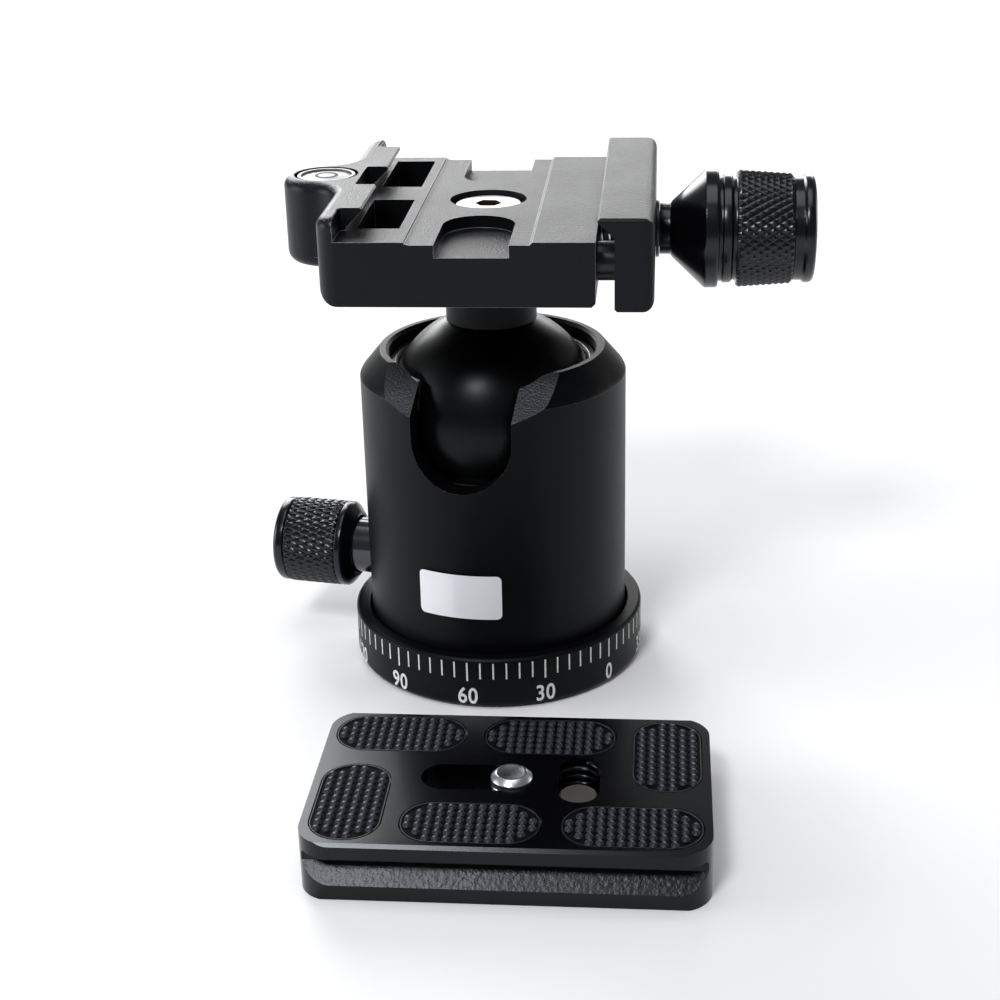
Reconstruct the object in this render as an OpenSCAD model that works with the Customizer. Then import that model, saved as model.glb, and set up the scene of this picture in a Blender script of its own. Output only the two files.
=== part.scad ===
// Tripod ball head with a panning base, a drop notch and a dovetail clamp,
// and its quick release plate lying in front of it.
// Millimetres, +Z up. The origin is the centre of the underside of the base,
// on the axis of the 3/8 inch tripod thread. +X runs along the clamp screw
// towards its knob, and -Y is the side where the drop notch opens.

/* [Ball and stem] */
// Diameter of the ball
ball_d = 37.6; // [34:0.2:40]
// Diameter of the stem between ball and clamp
stem_d = 15.6; // [13:0.2:16.4]
// Height from the ball's centre to the underside of the clamp
stem_reach = 28; // [26.5:0.1:34]
// Running clearance between the ball and its two seats
seat_gap = 0.05; // [0.02:0.01:0.1]
// Diameter of the stem's spigot inside the ball
spigot_d = 10; // [9:0.2:11]

/* [Housing] */
// Wall of the housing beside the ball
housing_wall = 4; // [3.6:0.1:5]
// Height of the rim above the ball's centre
rim_rise = 12.3; // [11.8:0.1:13.2]
// Width of the slope around the rim
rim_slope_w = 3.4; // [2.6:0.1:3.6]
// Height of the slope around the rim
rim_slope_h = 4.2; // [3:0.1:5]
// Clearance on each side of the stem in the drop notch
notch_gap = 0.85; // [0.5:0.05:1.2]
// Height of the centre of the notch's round end above the ball's centre
notch_rise = 2.1; // [1.6:0.05:2.4]
// Turn of the housing on its base
head_pan = -9.7; // [-30:0.1:30]

/* [Base] */
// How far the scale ring stands out around the housing
ring_step = 2.9; // [2.2:0.1:4]
// Height of the scale ring's top
ring_top = 9.6; // [8.6:0.1:9.8]
// Thickness of the base plate
base_t = 4; // [3.5:0.1:4.6]
// Diameter of the tapped hole of the thread bush
tripod_bore_d = 7.94; // [7.8:0.02:8.2]
// Outer diameter of the thread bush
bush_d = 13; // [12:0.2:13.4]
// Diameter of the pan post
post_d = 21; // [20.4:0.2:22]
// Thickness of the bearing block that closes the housing
block_t = 9.1; // [8.9:0.1:9.6]

/* [Ball lock] */
// Height of the wedge at its thick end
wedge_h = 7.2; // [7:0.1:8]
// Slope of the wedge in degrees
wedge_slope = 5; // [4:0.5:6]
// Width of the wedge
wedge_w = 14; // [11:0.5:18]
// Diameter of the polished sleeve around the lock spindle
sleeve_d = 10.2; // [9:0.2:11]
// Diameter of the lock spindle in its sleeve
spindle_d = 6; // [5.6:0.1:6.4]
// Diameter of the spindle's thread in the wedge
spindle_thread_d = 5; // [4.6:0.1:5.4]
// Diameter of the ball lock knob
lock_knob_d = 15.8; // [15.4:0.2:17]
// Length of the ball lock knob
lock_knob_l = 14.8; // [13:0.1:15.6]
// Gap between the housing and the ball lock knob
lock_knob_gap = 3.2; // [3.2:0.1:5.4]

/* [Pan lock] */
// Height of the pan lock spindle
pan_lock_z = 11.6; // [11.4:0.05:11.8]
// Diameter of the pan lock spindle
pan_spindle_d = 3.2; // [2.8:0.1:3.4]
// Diameter of the pan lock knob
pan_knob_d = 11.2; // [9:0.2:13]
// Length of the pan lock knob
pan_knob_l = 10; // [8:0.2:14]
// Direction of the pan lock, from the housing's own X axis
pan_lock_az = 100; // [80:1:120]

/* [Clamp] */
// Length of the clamp along the plate's sliding way
clamp_l = 60; // [56:0.5:68]
// Height from the clamp's underside to its side platforms
clamp_h = 10.3; // [10.2:0.1:12]
// How deep the middle platform lies below the side platforms
middle_drop = 0.45; // [0.2:0.05:0.8]
// Height of the jaws above the side platforms
jaw_rise = 3.6; // [3.6:0.1:5]
// Distance from the stem axis to the fixed jaw's upright face
fixed_face = 20.4; // [20.2:0.1:22]
// Distance from the stem axis to the moving jaw's upright face
moving_face = 21.9; // [21.6:0.1:23]
// Gap between the clamp body and the moving jaw
jaw_gap = 2.9; // [2.7:0.1:3.6]
// How far each lip overhangs its upright face
lip_reach = 2.6; // [2:0.1:2.8]
// Thickness of the moving jaw at its base
jaw_t = 6.1; // [5.4:0.1:8]
// Height of the clamp screw above the clamp's underside
clamp_screw_rise = 4.7; // [4.5:0.05:5]
// Diameter of the clamp screw
clamp_screw_d = 6; // [5:0.1:6.2]
// Diameter of the guide pins
guide_pin_d = 6.2; // [5:0.1:6.4]
// Distance between the guide pins
guide_pin_span = 40; // [34:0.5:44]
// Largest diameter of the clamp knob
clamp_knob_d = 19.6; // [16:0.2:20]
// Diameter of the bolt head that holds the clamp on the stem
bolt_head_d = 11.4; // [10.6:0.1:11.8]
// Diameter of the bubble level
level_d = 9.8; // [8:0.1:10.4]

/* [Quick release plate] */
// Length of the plate
plate_l = 60; // [58:0.5:80]
// Width across the dovetail
plate_w = 38; // [37.6:0.1:39]
// Height of the plate
plate_h = 9.6; // [9:0.1:12]
// Height of the dovetail's upright edge
flange_h = 2.6; // [1:0.1:2.8]
// Diameter of the camera screw's thread
camera_thread_d = 6.35; // [6.3:0.01:6.4]
// How far the camera screw stands above the plate
camera_screw_rise = 1.1; // [0.9:0.1:5]
// Height of the pads above the plate
pad_rise = 0.35; // [0.1:0.05:1]
// Place of the plate's centre along X
plate_x = 7.4; // [-20:0.1:20]
// Gap between the plate and the sweep of the ball lock knob
plate_gap = 3.1; // [0.3:0.1:20]

/* [Hidden] */

fit = 0.03;        // closeness of faces that run on or sit in each other
free_gap = 0.3;    // clearance of parts that pass without touching
cut = 1;           // overshoot of a cutting shape past a face
round_fn = 96;
small_fn = 48;

// heights of the stack, from the base up to the ball
washer_gap = 0.5;
block_z = base_t + washer_gap;
block_top = block_z + block_t;
washer_step = 0.9;
wedge_z = block_top + free_gap;
lock_z = wedge_z + spindle_d / 2 + 0.3;
lift_top = wedge_z + wedge_h + 2.55;
cup_floor = 2.75;
cup_z = lift_top + 0.05;
ball_r = ball_d / 2;
ball_z = cup_z + cup_floor + seat_gap + ball_r;

// radii around the vertical axis
stem_r = stem_d / 2;
bore_r = ball_r + free_gap;
body_r = bore_r + housing_wall;
ring_r = body_r + ring_step;
ring_inner_r = body_r + 0.35;
post_r = post_d / 2;
pan_bush_r = post_r + 1.5;
mouth_r = ball_r - 0.8;
block_r = bore_r - fit;

// housing heights
rim_z = ball_z + rim_rise;
shoulder_z = rim_z - rim_slope_h;
seat_shoulder_z = ball_z + 7.25;
notch_r = stem_r + notch_gap;
notch_z = ball_z + notch_rise;
notch_flare_r = 2.5;
relief_slope = 36.3;
relief_drop = 2.2;
notch_foot_y = sqrt(body_r * body_r - notch_r * notch_r);
cup_top = notch_z - notch_r - free_gap;

// distances along the ball lock's axis
sleeve_in = bore_r + 0.1;
lock_knob_in = max(body_r + lock_knob_gap, ring_r + free_gap);
lock_knob_out = lock_knob_in + lock_knob_l;
wedge_out = bore_r - 5.6;
wedge_in = -11;
collar_l = 2;

// distances along the pan lock's axis
pan_knob_in = ring_r + 0.4;
shoe_h = 5;
shoe_l = 3.7;
shoe_w = 7;
shoe_in = post_r + fit;
shoe_z = block_top - washer_step - 0.6 - shoe_h;
shoe_free = 0.15;

// clamp levels and faces
clamp_z = ball_z + stem_reach;
platform_z = clamp_z + clamp_h;
middle_z = platform_z - middle_drop;
jaw_top = platform_z + jaw_rise;
lip_edge = 0.5;
wall_t = 3.9;
wall_x = -fixed_face - wall_t;
body_x = moving_face - jaw_gap;
screw_z = clamp_z + clamp_screw_rise;
ridge_x = 9.6;
jaw_travel = 2.5;
pin_in = 8;
pin_seat = 4.6;
level_h = 4;
spring_r = clamp_screw_d / 2 + 1;
spring_wall = 0.85;
spring_seat = body_x - 5;
jaw_counterbore = 2.6;
bolt_head_h = 3.6;
bolt_seat_z = middle_z - 0.7 - bolt_head_h;
bolt_r = 3;
level_r = level_d / 2;
bulge_x = wall_x - 3.2;
bulge_y = 1.2;
level_seat_r = level_r + 0.5;
level_foot_h = 1.2;
bulge_r = level_seat_r + 1.8;

// distances along the clamp screw's axis
jaw_out = moving_face + jaw_t;
washer_t = 0.6;
knob_in = jaw_out + washer_t + 0.05;
knob_l = 21.6;

// quick release plate
plate_top = plate_h + pad_rise;
knob_low = max(0, pow(lock_knob_d / 2, 2) - pow(max(0, lock_z - plate_top), 2));
plate_y = -(sqrt(lock_knob_out * lock_knob_out + knob_low) + plate_gap + plate_w / 2);
plate_r = 5;
dovetail_depth = 2.6;
screw_slot_l = 10.2;
screw_slot_r = camera_thread_d / 2 + 0.375;
head_slot_r = 7.2;
ledge_z = 3.6;
hole_x = 10.2;
hole_r = 3.15;
pad_l = 20.6;
pad_w = 10.6;
pad_r = 5;
pad_depth = 0.7;
pad_edge = 1.3;

// Points of an arc from angle a0 to a1 about a centre
function arc(c, r, a0, a1, n = 12) =
    [for (i = [0:n]) c + r * [cos(a0 + (a1 - a0) * i / n), sin(a0 + (a1 - a0) * i / n)]];

// ---- placing ----

// The housing and all that sits in it, turned on the base
module in_head() {
    rotate([0, 0, head_pan]) children();
}

// Along the ball lock: the local Z axis runs outwards
module on_lock_axis() {
    in_head() translate([0, 0, lock_z]) rotate([0, -90, 0]) children();
}

// Along the pan lock: the local Z axis runs outwards
module on_pan_axis() {
    in_head() rotate([0, 0, pan_lock_az]) translate([0, 0, pan_lock_z]) rotate([0, 90, 0])
        children();
}

// Along the clamp screw: the local Z axis runs towards the knob
module on_clamp_axis(y = 0) {
    translate([0, y, screw_z]) rotate([0, 90, 0]) children();
}

module on_plate() {
    translate([plate_x, plate_y, 0]) children();
}

// ---- shared shapes ----

// A turned piece from its [radius, height] outline
module turned(outline, fn = round_fn) {
    rotate_extrude($fn = fn) polygon(outline);
}

module tube(r_out, r_in, z0, z1, fn = round_fn) {
    translate([0, 0, z0]) difference() {
        cylinder(r = r_out, h = z1 - z0, $fn = fn);
        translate([0, 0, -cut]) cylinder(r = r_in, h = z1 - z0 + 2 * cut, $fn = fn);
    }
}

module bore(r, z0, z1, fn = small_fn) {
    translate([0, 0, z0]) cylinder(r = r, h = z1 - z0, $fn = fn);
}

// A rod or disc with a small chamfer at both ends
module rod(r, z0, z1, c = 0.3, fn = small_fn) {
    turned([[0, z0], [r - c, z0], [r, z0 + c], [r, z1 - c], [r - c, z1], [0, z1]], fn);
}

// A countersunk screw, head at z0, pointing up
module flat_screw(head_r, shank_r, z0, l) {
    difference() {
        turned([[0, z0], [head_r, z0], [shank_r, z0 + head_r - shank_r], [shank_r, z0 + l],
                [0, z0 + l]], small_fn);
        translate([0, 0, z0 - cut]) cylinder(r = shank_r * 0.75, h = cut + 0.9, $fn = 6);
    }
}

module flat_screw_hole(head_r, shank_r, z0, l) {
    turned([[0, z0 - head_r], [head_r + fit, z0 - head_r], [head_r + fit, z0],
            [shank_r + fit, z0 + head_r - shank_r], [shank_r + fit, z0 + l], [0, z0 + l]], small_fn);
}

module rounded(l, w, r) {
    square([l - 2 * r, w], center = true);
    square([l, w - 2 * r], center = true);
    for (x = [-1, 1], y = [-1, 1]) translate([x * (l / 2 - r), y * (w / 2 - r)])
        circle(r = r, $fn = small_fn);
}

// ---- base ----

screw_ring_r = (bush_d / 2 + post_r) / 2;
screw_head_r = 1.5;
screw_r = 0.8;
screw_sunk = 0.1;
post_screw_l = base_t + 3.6;
post_screw_way = base_t + 4;
retaining_screw_l = 3;

module around_screws(turn) {
    for (i = [0:2]) rotate([0, 0, turn + 120 * i]) translate([screw_ring_r, 0, 0]) children();
}

module base_plate() {
    color("#1b1b1d") difference() {
        turned([[bush_d / 2 + fit, 0], [ring_inner_r + 0.1, 0], [ring_inner_r + 0.5, 0.4],
                [ring_inner_r + 0.5, base_t], [bush_d / 2 + fit, base_t]]);
        around_screws(0) flat_screw_hole(screw_head_r, screw_r, screw_sunk, base_t + cut);
    }
}

module scale_ring() {
    seat_r = ring_inner_r + 0.5 + fit;
    color("#151516") turned([[seat_r, 0.3], [ring_r - 0.9, 0.3], [ring_r - 0.25, 0.7], [ring_r, 1.5],
        [ring_r, ring_top - 0.45], [ring_r - 0.45, ring_top], [ring_inner_r + 0.2, ring_top],
        [ring_inner_r, ring_top - 0.2], [ring_inner_r, base_t + fit], [seat_r, base_t + fit]]);
}

module thread_bush() {
    color("silver") turned([[tripod_bore_d / 2, 0.1], [bush_d / 2, 0.1],
        [bush_d / 2, block_top - washer_step], [tripod_bore_d / 2, block_top - washer_step]]);
}

module pan_post() {
    top = block_top - washer_step;
    color("#8f9094") difference() {
        tube(post_r, bush_d / 2 + fit, base_t, top);
        around_screws(0) bore(screw_r + fit, base_t - cut, post_screw_way);
        around_screws(60) bore(screw_r + fit, top - retaining_screw_l - 0.2, top + cut);
    }
}

module post_screws() {
    color("silver") around_screws(0) flat_screw(screw_head_r, screw_r, screw_sunk, post_screw_l);
}

module retaining_washer() {
    z = block_top - washer_step;
    color("silver") difference() {
        tube(post_r + 2.6, bush_d / 2 - 0.5, z, z + 0.8);
        around_screws(60) bore(screw_r + fit, z - cut, z + cut);
    }
}

module retaining_screws() {
    z = block_top - washer_step;
    color("silver") around_screws(60) {
        bore(screw_r, z - retaining_screw_l, z + 0.8);
        translate([0, 0, z + 0.8]) difference() {
            cylinder(r = screw_r + 0.3, h = 0.25, $fn = small_fn);
            translate([-screw_r, -0.2, 0.1]) cube([2 * screw_r, 0.4, cut]);
        }
    }
}

module thrust_washer() {
    color("#e8e4da") tube(body_r - 0.6, post_r + 3.5, base_t + fit, block_z - fit);
}

// ---- housing ----

// Outline of the drop notch, seen from the front
module notch_outline() {
    flare_z = rim_z - notch_flare_r;
    polygon(concat(
        arc([0, notch_z], notch_r, 180, 360, 32),
        arc([notch_r + notch_flare_r, flare_z], notch_flare_r, 180, 90),
        [[notch_r + notch_flare_r, rim_z + cut], [-notch_r - notch_flare_r, rim_z + cut]],
        arc([-notch_r - notch_flare_r, flare_z], notch_flare_r, 90, 0)));
}

module notch_cut() {
    rotate([90, 0, 0]) linear_extrude(height = body_r + cut) notch_outline();
}

// The sloped flat that opens the rim on both sides of the notch
module notch_relief() {
    translate([0, -notch_foot_y, shoulder_z - relief_drop]) rotate([relief_slope, 0, 0])
        translate([-body_r, -body_r, 0]) cube([2 * body_r, 2 * body_r, body_r]);
}

module housing() {
    rim_r = body_r - rim_slope_w;
    color("#202125") in_head() difference() {
        turned([[bore_r, block_z], [body_r - 0.3, block_z], [body_r, block_z + 0.3],
                [body_r, shoulder_z - 0.3], [body_r - 0.3, shoulder_z + 0.3], [rim_r, rim_z - 0.2],
                [rim_r - 0.3, rim_z], [mouth_r + 0.5, rim_z], [mouth_r, rim_z - 0.5],
                [mouth_r, seat_shoulder_z], [bore_r, seat_shoulder_z]], 144);
        notch_cut();
        notch_relief();
        translate([0, 0, lock_z]) rotate([0, -90, 0]) bore(sleeve_d / 2 + fit, 0, body_r + cut);
        rotate([0, 0, pan_lock_az]) translate([0, 0, pan_lock_z]) rotate([0, 90, 0])
            bore(pan_spindle_d / 2 + 0.05, 0, body_r + cut);
        at_block_screws() bore(block_screw_r + fit, 0, body_r + cut);
    }
}

block_screw_r = 1.5;
block_screw_z = block_z + 3;

module at_block_screws() {
    for (a = [30, 150, 270]) rotate([0, 0, a]) translate([0, 0, block_screw_z]) rotate([0, 90, 0])
        children();
}

module bearing_block() {
    color("#77787c") in_head() difference() {
        turned([[pan_bush_r + fit, block_z], [block_r, block_z], [block_r, block_top],
                [post_r + 2.9, block_top], [post_r + 2.9, block_top - washer_step - fit],
                [pan_bush_r + fit, block_top - washer_step - fit]]);
        pan_shoe_way(0.05);
        rotate([0, 0, pan_lock_az]) translate([0, 0, pan_lock_z]) rotate([0, 90, 0])
            bore(pan_spindle_d / 2 + 0.05, post_r, body_r);
        at_block_screws() bore(block_screw_r + fit, bore_r - 4, body_r);
    }
}

module block_screws() {
    color("#3a3a3c") in_head() at_block_screws() difference() {
        bore(block_screw_r, bore_r - 3.6, body_r - 0.4);
        translate([0, 0, body_r - 2]) cylinder(r = 0.8, h = 2, $fn = 6);
    }
}

module pan_bush() {
    color("#b08d57") in_head() difference() {
        tube(pan_bush_r, post_r + 0.04, block_z + 0.05, block_top - washer_step - 0.05);
        pan_shoe_way(0.05);
    }
}

// Straight way that the pan shoe slides in, with a clearance around it
module pan_shoe_way(gap) {
    rotate([0, 0, pan_lock_az]) translate([0, -shoe_w / 2 - gap, shoe_z - gap])
        cube([shoe_in + shoe_l + 0.8, shoe_w + 2 * gap, shoe_h + 2 * gap]);
}

seat_ring_z = ball_z + 5.2;
seat_ring_top = rim_z - 2.2;

module upper_seat_ring() {
    color("#2c2c2f") in_head() difference() {
        turned([[ball_r * 0.7, seat_ring_z], [bore_r - fit, seat_ring_z],
                [bore_r - fit, seat_shoulder_z - fit], [mouth_r - fit, seat_shoulder_z - fit],
                [mouth_r - fit, seat_ring_top - 0.3], [mouth_r - 0.3, seat_ring_top],
                [mouth_r - 1.2, seat_ring_top], [ball_r * 0.8, seat_ring_z + 2.5]]);
        translate([0, 0, ball_z]) sphere(r = ball_r + seat_gap, $fn = round_fn);
        notch_cut();
        notch_relief();
    }
}

module lock_sleeve() {
    color("#d8d8dc") on_lock_axis()
        tube(sleeve_d / 2, spindle_d / 2 + 0.05, sleeve_in, lock_knob_in + 3.9);
}

// Blank domed sticker under the notch
module label() {
    label_turn = 37;
    label_h = 8.2;
    label_z = ring_top + 6.4;
    color("white") in_head() rotate([0, 0, -91.5]) intersection() {
        tube(body_r + 0.45, body_r + 0.02, label_z, label_z + label_h);
        translate([0, 0, label_z - cut]) linear_extrude(height = label_h + 2 * cut)
            polygon([[0, 0], 2 * body_r * [cos(label_turn / 2), -sin(label_turn / 2)],
                     2 * body_r * [cos(label_turn / 2), sin(label_turn / 2)]]);
    }
}

// ---- ball lock ----

module lock_knob() {
    r = lock_knob_d / 2;
    s = lock_knob_in;
    cap = lock_knob_out - 2.2;
    color("#1c1c1f") on_lock_axis() turned([
        [sleeve_d / 2 + 1.2, s], [r - 0.9, s], [r - 0.1, s + 1], [r - 0.1, s + 2.4],
        [r - 0.5, s + 2.6], [r - 0.5, s + 2.9], [r, s + 3.1], [r, cap - 0.4], [r - 0.4, cap],
        [spindle_d / 2, cap], [spindle_d / 2, s + 4.4], [sleeve_d / 2 + 1.2, s + 4.4]]);
}

module lock_knob_cap() {
    r = lock_knob_d / 2 - 0.6;
    s = lock_knob_out - 2.2;
    color("#2a2a2e") on_lock_axis() turned([[0, s + fit], [r, s + fit], [r, s + 0.9],
        [r - 0.5, s + 1.7], [r - 1.4, lock_knob_out], [0, lock_knob_out]]);
}

spindle_in = 5.2;

module lock_spindle() {
    cap = lock_knob_out - 2.2;
    collar = sleeve_in - 0.05;
    color("silver") on_lock_axis() turned([[0, spindle_in], [spindle_thread_d / 2, spindle_in],
        [spindle_thread_d / 2, collar - collar_l], [spindle_d / 2 + 0.4, collar - collar_l],
        [spindle_d / 2 + 0.4, collar], [spindle_d / 2, collar], [spindle_d / 2, cap], [0, cap]],
        small_fn);
}

// Height of the wedge's sloped top at a distance s from the pan axis
function wedge_top(s) = wedge_z + wedge_h - (wedge_out - s) * tan(wedge_slope);

module lock_wedge() {
    color("#9b9ca0") in_head() difference() {
        translate([0, wedge_w / 2, 0]) rotate([90, 0, 0]) linear_extrude(height = wedge_w)
            polygon([[-wedge_out, wedge_z], [-wedge_in, wedge_z],
                     [-wedge_in, wedge_top(wedge_in)], [-wedge_out, wedge_top(wedge_out)]]);
        translate([0, 0, lock_z]) rotate([0, -90, 0])
            bore(spindle_thread_d / 2 + fit, 3.8, wedge_out + cut);
    }
}

module lift_plate() {
    r = bore_r - 0.2;
    color("#85868a") in_head() difference() {
        bore(r, wedge_z, lift_top, round_fn);
        translate([0, 2 * r, 0]) rotate([90, 0, 0]) linear_extrude(height = 4 * r)
            polygon([[-r - cut, 0], [r + cut, 0], [r + cut, wedge_top(-r - cut) + fit],
                     [-r - cut, wedge_top(r + cut) + fit]]);
    }
}

// ---- pan lock ----

module pan_knob() {
    r = pan_knob_d / 2;
    s = pan_knob_in;
    color("#1c1c1f") on_pan_axis() turned([[pan_spindle_d / 2, s], [r * 0.7, s], [r, s + 1.6],
        [r, s + pan_knob_l - 1], [r - 1, s + pan_knob_l], [pan_spindle_d / 2, s + pan_knob_l]]);
}

module pan_spindle() {
    color("silver") on_pan_axis()
        rod(pan_spindle_d / 2, shoe_in + shoe_l + shoe_free, pan_knob_in + pan_knob_l - 0.2, 0.2);
}

module pan_shoe() {
    color("#c9b26b") in_head() difference() {
        rotate([0, 0, pan_lock_az]) translate([post_r * 0.8, -shoe_w / 2, shoe_z])
            cube([shoe_in + shoe_l - post_r * 0.8, shoe_w, shoe_h]);
        bore(shoe_in, shoe_z - cut, shoe_z + shoe_h + cut, round_fn);
    }
}

// ---- ball and its cup ----

module ball_cup() {
    color("#d9d5c8") in_head() difference() {
        turned([[0, cup_z], [bore_r - 1.2, cup_z], [bore_r - 0.08, cup_z + 1.1],
                [bore_r - 0.08, cup_top], [0, cup_top]]);
        translate([0, 0, ball_z]) sphere(r = ball_r + seat_gap, $fn = round_fn);
    }
}

module ball() {
    color("#121214") difference() {
        translate([0, 0, ball_z]) sphere(r = ball_r, $fn = 144);
        bore(spigot_d / 2, ball_z + 2, ball_z + ball_r + cut);
    }
}

// ---- stem and clamp ----

module stem() {
    color("#19191b") difference() {
        union() {
            difference() {
                bore(stem_r, ball_z + ball_r * 0.8, clamp_z, round_fn);
                translate([0, 0, ball_z]) sphere(r = ball_r + fit, $fn = round_fn);
            }
            bore(spigot_d / 2 - 0.04, ball_z + 2.1, clamp_z - cut);
        }
        bore(bolt_r + fit, clamp_z - 11, clamp_z + cut);
    }
}

// Outer outline of the fixed jaw seen from above, with the swell for the level
function jaw_outline() =
    let (f = 6, dx = wall_x - f - bulge_x, reach = bulge_r + f, dy = sqrt(reach * reach - dx * dx),
         a = atan2(dy, dx), c = 3.4, y = clamp_l / 2)
    concat(
        [[-fixed_face + 2, -y], [wall_x + c, -y]],
        arc([wall_x + c, -y + c], c, 270, 180, 8),
        arc([wall_x - f, bulge_y - dy], f, 0, 180 - a, 10),
        arc([bulge_x, bulge_y], bulge_r, 360 - a, a, 28),
        arc([wall_x - f, bulge_y + dy], f, a - 180, 0, 10),
        arc([wall_x + c, y - c], c, 180, 90, 8),
        [[-fixed_face + 2, y]]);

// Cross-section of the clamp's block, seen from the front
module block_section() {
    c = 3;
    lower = 0.6;
    polygon(concat([[body_x - lower, clamp_z]], [[body_x, clamp_z + lower], [body_x, platform_z],
        [ridge_x - 0.2, platform_z], [ridge_x - 0.2 - middle_drop, middle_z],
        [-ridge_x, middle_z], [-ridge_x - 0.7, platform_z - 0.25], [-ridge_x - 0.9, platform_z],
        [-fixed_face - 1, platform_z], [-fixed_face - 1, jaw_top - 0.4],
        [-fixed_face - 1.4, jaw_top], [wall_x, jaw_top]],
        arc([wall_x + c, clamp_z + c], c, 180, 270, 10)));
}

// Cross-section of a lip with its dovetail slope
module lip_section() {
    polygon([[-fixed_face - 1.5, platform_z], [-fixed_face, platform_z],
        [-fixed_face, jaw_top - lip_edge - lip_reach], [-fixed_face + lip_reach, jaw_top - lip_edge],
        [-fixed_face + lip_reach, jaw_top - 0.3], [-fixed_face + lip_reach - 0.3, jaw_top],
        [-fixed_face - 1.5, jaw_top]]);
}

module along_y(y0, y1) {
    translate([0, y1, 0]) rotate([90, 0, 0]) linear_extrude(height = y1 - y0) children();
}

lip_start = 6.6;
lip_end = 22.6;
pocket_x = [-19, -12.1];
pockets = [[-21.5, -2.4], [6.8, 26.8]];
pocket_floor = 2.6;
recess_w = 11.6;
recess_depth = 2;

module clamp_recess() {
    recess_r = recess_w / 2;
    translate([0, 0, middle_z - recess_depth]) linear_extrude(height = clamp_h) {
        translate([0, -recess_r - 11.4]) circle(r = recess_r, $fn = small_fn);
        translate([-recess_r, -clamp_l / 2 - cut])
            square([recess_w, clamp_l / 2 + cut - recess_r - 11.4]);
    }
}

module clamp_body() {
    y = clamp_l / 2;
    swell_z = clamp_z - 0.7;
    color("#26272b") difference() {
        union() {
            intersection() {
                along_y(-y, y) block_section();
                translate([0, 0, clamp_z - cut]) linear_extrude(height = jaw_top - clamp_z + 2 * cut)
                    union() {
                        polygon(jaw_outline());
                        translate([wall_x + 3.4, -y]) square([body_x - wall_x, clamp_l]);
                    }
            }
            for (s = [-1, 1]) along_y(min(s * lip_start, s * lip_end), max(s * lip_start, s * lip_end))
                lip_section();
            intersection() {
                translate([0, 0, swell_z]) linear_extrude(height = jaw_top - swell_z)
                    polygon(jaw_outline());
                translate([bulge_x, bulge_y, 0]) turned(concat([[0, swell_z]],
                    arc([bulge_r - 2, swell_z + 2], 2, 270, 360, 6),
                    [[bulge_r + 9, swell_z + 5], [bulge_r + 9, jaw_top - 0.4],
                    [bulge_r + 8.6, jaw_top], [0, jaw_top]]));
                union() {
                    translate([2 * wall_x, -y, clamp_z])
                        cube([-2 * wall_x - fixed_face - 1, clamp_l, 20]);
                    translate([bulge_x, bulge_y, swell_z - cut])
                        cylinder(r = bulge_r + cut, h = clamp_z - swell_z + 2 * cut, $fn = small_fn);
                }
            }
        }
        translate([0, 0, -cut]) bore(bolt_r + fit, clamp_z, middle_z);
        bore(bolt_head_d / 2 + 0.75, bolt_seat_z, jaw_top);
        clamp_recess();
        mirror([0, 1, 0]) clamp_recess();
        for (p = pockets) translate([pocket_x[0], p[0], clamp_z + pocket_floor])
            cube([pocket_x[1] - pocket_x[0], p[1] - p[0], clamp_h]);
        on_clamp_axis() bore(clamp_screw_d / 2 + fit, 5, body_x + cut);
        on_clamp_axis() bore(spring_r + 0.2, spring_seat, body_x + cut);
        for (s = [-1, 1]) on_clamp_axis(s * guide_pin_span / 2)
            bore(guide_pin_d / 2 + 0.05, pin_in, body_x + cut);
        translate([bulge_x, bulge_y, 0]) bore(level_seat_r + fit, jaw_top - level_h, jaw_top + cut);
    }
}

module stem_bolt() {
    color("#e6e6e8") difference() {
        union() {
            rod(bolt_head_d / 2, bolt_seat_z, bolt_seat_z + bolt_head_h, 0.4, round_fn);
            bore(bolt_r, clamp_z - 10.5, bolt_seat_z + cut);
        }
        translate([0, 0, bolt_seat_z + 1]) cylinder(r = 2.31, h = bolt_head_h, $fn = 6);
    }
}

module guide_pins() {
    color("#3d3d40") for (s = [-1, 1]) on_clamp_axis(s * guide_pin_span / 2)
        rod(guide_pin_d / 2, pin_in + jaw_travel + 0.2, moving_face + pin_seat - fit);
}

module level_case() {
    color("#c9cbcf") translate([bulge_x, bulge_y, 0]) turned([[0, jaw_top - level_h + fit],
        [level_seat_r, jaw_top - level_h + fit], [level_seat_r, jaw_top - level_h + level_foot_h],
        [level_r, jaw_top - level_h + level_foot_h + 0.3], [level_r, jaw_top - 0.1],
        [level_r - 0.6, jaw_top - 0.1],
        [level_r - 0.6, jaw_top - level_h + 0.9], [0, jaw_top - level_h + 0.9]]);
}

module level_lens() {
    r = level_r - 0.63;
    color("#d8dcd2") translate([bulge_x, bulge_y, 0]) turned([[0, jaw_top - level_h + 0.93],
        [r, jaw_top - level_h + 0.93], [r, jaw_top - 0.5], [r * 0.7, jaw_top - 0.3],
        [0, jaw_top - 0.2]]);
}

module jaw_spring() {
    color("silver") on_clamp_axis()
        tube(spring_r, spring_r - spring_wall, spring_seat + fit, moving_face + jaw_counterbore - fit,
             small_fn);
}

module jaw_section() {
    c = 1.8;
    bottom = clamp_z - 0.7;
    polygon(concat(
        [[moving_face, bottom + 0.4], [moving_face + 0.4, bottom]],
        arc([jaw_out - c, bottom + c], c, 270, 360, 8),
        arc([jaw_out - c, jaw_top - c], c, 0, 90, 8),
        [[moving_face - lip_reach + 0.3, jaw_top], [moving_face - lip_reach, jaw_top - 0.3],
         [moving_face - lip_reach, jaw_top - lip_edge],
         [moving_face, jaw_top - lip_edge - lip_reach]]));
}

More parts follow.
